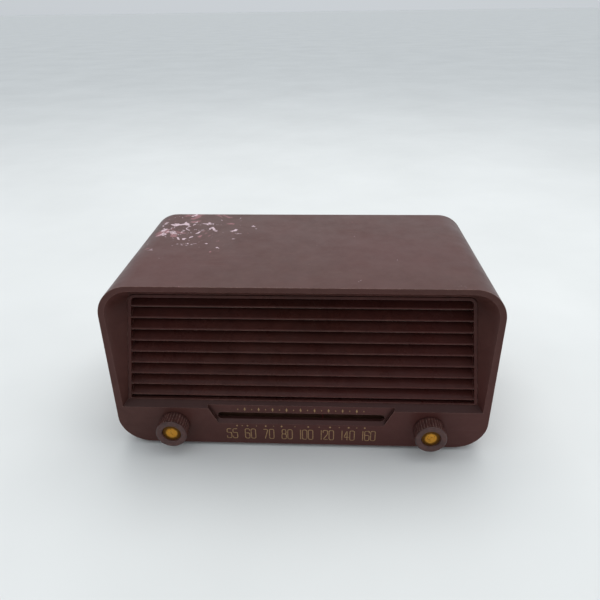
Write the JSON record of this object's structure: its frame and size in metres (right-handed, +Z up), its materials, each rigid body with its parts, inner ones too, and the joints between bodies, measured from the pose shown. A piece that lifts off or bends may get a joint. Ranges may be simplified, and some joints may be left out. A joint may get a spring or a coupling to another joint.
{
  "type": "tabletop radio",
  "caption": "Moulded tabletop valve radio with a leaning louvred front, slide-rule dial and two knobs; the knobs, pointer drive and speaker cone move.",
  "frame": {"origin": "centre of the footprint of the whole radio, knobs included, on the surface it stands on", "axes": "+X to the right as seen from the front, +Y from the louvred front to the back, +Z up"},
  "size_m": [0.286, 0.166, 0.141],
  "materials": {
    "bakelite": "satin moulded brown",
    "louvre_bakelite": "satin moulded dark brown",
    "knob_bakelite": "worn satin brown",
    "aged_brass": "aged satin",
    "grille_cloth": "coarse dark weave",
    "rubber": "matte",
    "fibreboard": "pressed board",
    "screw_steel": "dull plated",
    "dial_card": "aged printed card",
    "pointer_paint": "satin red",
    "cord_fabric": "waxed braid",
    "plated_steel": "cadmium plated",
    "shaft_steel": "ground",
    "cast_aluminium": "dull",
    "glass": "clear with silvered top",
    "phenolic": "moulded phenolic",
    "ivory_plastic": "moulded",
    "copper_wire": "waxed winding",
    "spring_steel": "blued",
    "cone_paper": "pressed paper",
    "yoke_steel": "painted",
    "wax_paper": "waxed paper",
    "black_plastic": "moulded"
  },
  "bodies": {
    "cabinet_body": {"cabinet": "bakelite", "louvre_grille": "louvre_bakelite", "grille_cloth": "grille_cloth", "rubber_feet": "rubber", "back_panel": "fibreboard", "back_screws": "screw_steel", "loop_antenna": "copper_wire", "ac_inlet": "phenolic", "ac_inlet_pins": "aged_brass", "dial_plate": "dial_card", "dial_plate_screws": "screw_steel", "dial_cord": "cord_fabric", "pulley_bracket": "plated_steel", "pulley_pins": "shaft_steel", "chassis": "plated_steel", "chassis_screws": "screw_steel", "bushing_nuts": "screw_steel", "tuning_bushing": "aged_brass", "volume_pot": "phenolic", "power_switch": "black_plastic", "gang_frame": "plated_steel", "gang_grommets": "rubber", "gang_stator": "cast_aluminium", "speaker_baffle": "plated_steel", "speaker_basket": "plated_steel", "speaker_screws": "screw_steel", "speaker_yoke": "yoke_steel", "speaker_pole": "yoke_steel", "cone_surround": "cone_paper", "spider": "wax_paper", "valve_sockets": "phenolic", "converter_valve": "glass", "if_valve": "glass", "detector_valve": "glass", "output_valve": "glass", "rectifier_valve": "glass", "valve_electrodes": "yoke_steel", "if_cans": "cast_aluminium", "filter_capacitor": "cast_aluminium", "output_transformer": "yoke_steel", "paper_capacitors": "wax_paper", "resistors": "phenolic"},
    "volume_control": {"volume_knob": "knob_bakelite", "volume_knob_insert": "aged_brass", "volume_knob_spring": "spring_steel", "volume_shaft": "shaft_steel"},
    "tuning_control": {"tuning_knob": "knob_bakelite", "tuning_knob_insert": "aged_brass", "tuning_knob_spring": "spring_steel", "tuning_shaft": "shaft_steel", "tuning_shaft_clip": "spring_steel"},
    "gang_rotor_assembly": {"gang_rotor": "cast_aluminium", "dial_drum": "phenolic", "cord_spring": "spring_steel"},
    "pointer": {"dial_pointer": "pointer_paint"},
    "left_pulley": {"idler_pulley_left": "ivory_plastic"},
    "right_pulley": {"idler_pulley_right": "ivory_plastic"},
    "cone_assembly": {"speaker_cone": "cone_paper", "voice_coil": "copper_wire", "dust_cap": "cone_paper"}
  },
  "joints": [
    {"name": "volume_turn", "type": "hinge", "parent": "cabinet_body", "child": "volume_control", "pos_m": [-0.0985, -0.07, 0.0215], "axis": [0, 1, 0], "range_deg": [0, 300]},
    {"name": "tuning_turn", "type": "hinge", "parent": "cabinet_body", "child": "tuning_control", "pos_m": [0.0985, -0.07, 0.0215], "axis": [0, 1, 0], "range_deg": [-1168, 624]},
    {"name": "gang_turn", "type": "hinge", "parent": "cabinet_body", "child": "gang_rotor_assembly", "pos_m": [0.037, -0.037, 0.064], "axis": [0, 1, 0], "range_deg": [-117.5, 63]},
    {"name": "pointer_slide", "type": "slide", "parent": "cabinet_body", "child": "pointer", "axis": [1, 0, 0], "range_m": [-0.0731, 0.0391]},
    {"name": "left_pulley_turn", "type": "hinge", "parent": "cabinet_body", "child": "left_pulley", "pos_m": [-0.078, -0.043, 0.0355], "axis": [0, 1, 0], "range_deg": [-760, 407]},
    {"name": "right_pulley_turn", "type": "hinge", "parent": "cabinet_body", "child": "right_pulley", "pos_m": [0.082, -0.043, 0.0355], "axis": [0, 1, 0], "range_deg": [-760, 407]},
    {"name": "cone_travel", "type": "slide", "parent": "cabinet_body", "child": "cone_assembly", "axis": [0, -1, 0], "range_m": [-0.001, 0.001], "stiffness_N_per_m": 2000}
  ],
  "couplings": [
    {"joint": "gang_turn", "follows": "tuning_turn", "ratio": 0.10028},
    {"joint": "pointer_slide", "follows": "tuning_turn", "m_per_rad": 0.003575},
    {"joint": "left_pulley_turn", "follows": "tuning_turn", "ratio": 0.65},
    {"joint": "right_pulley_turn", "follows": "tuning_turn", "ratio": 0.65}
  ]
}
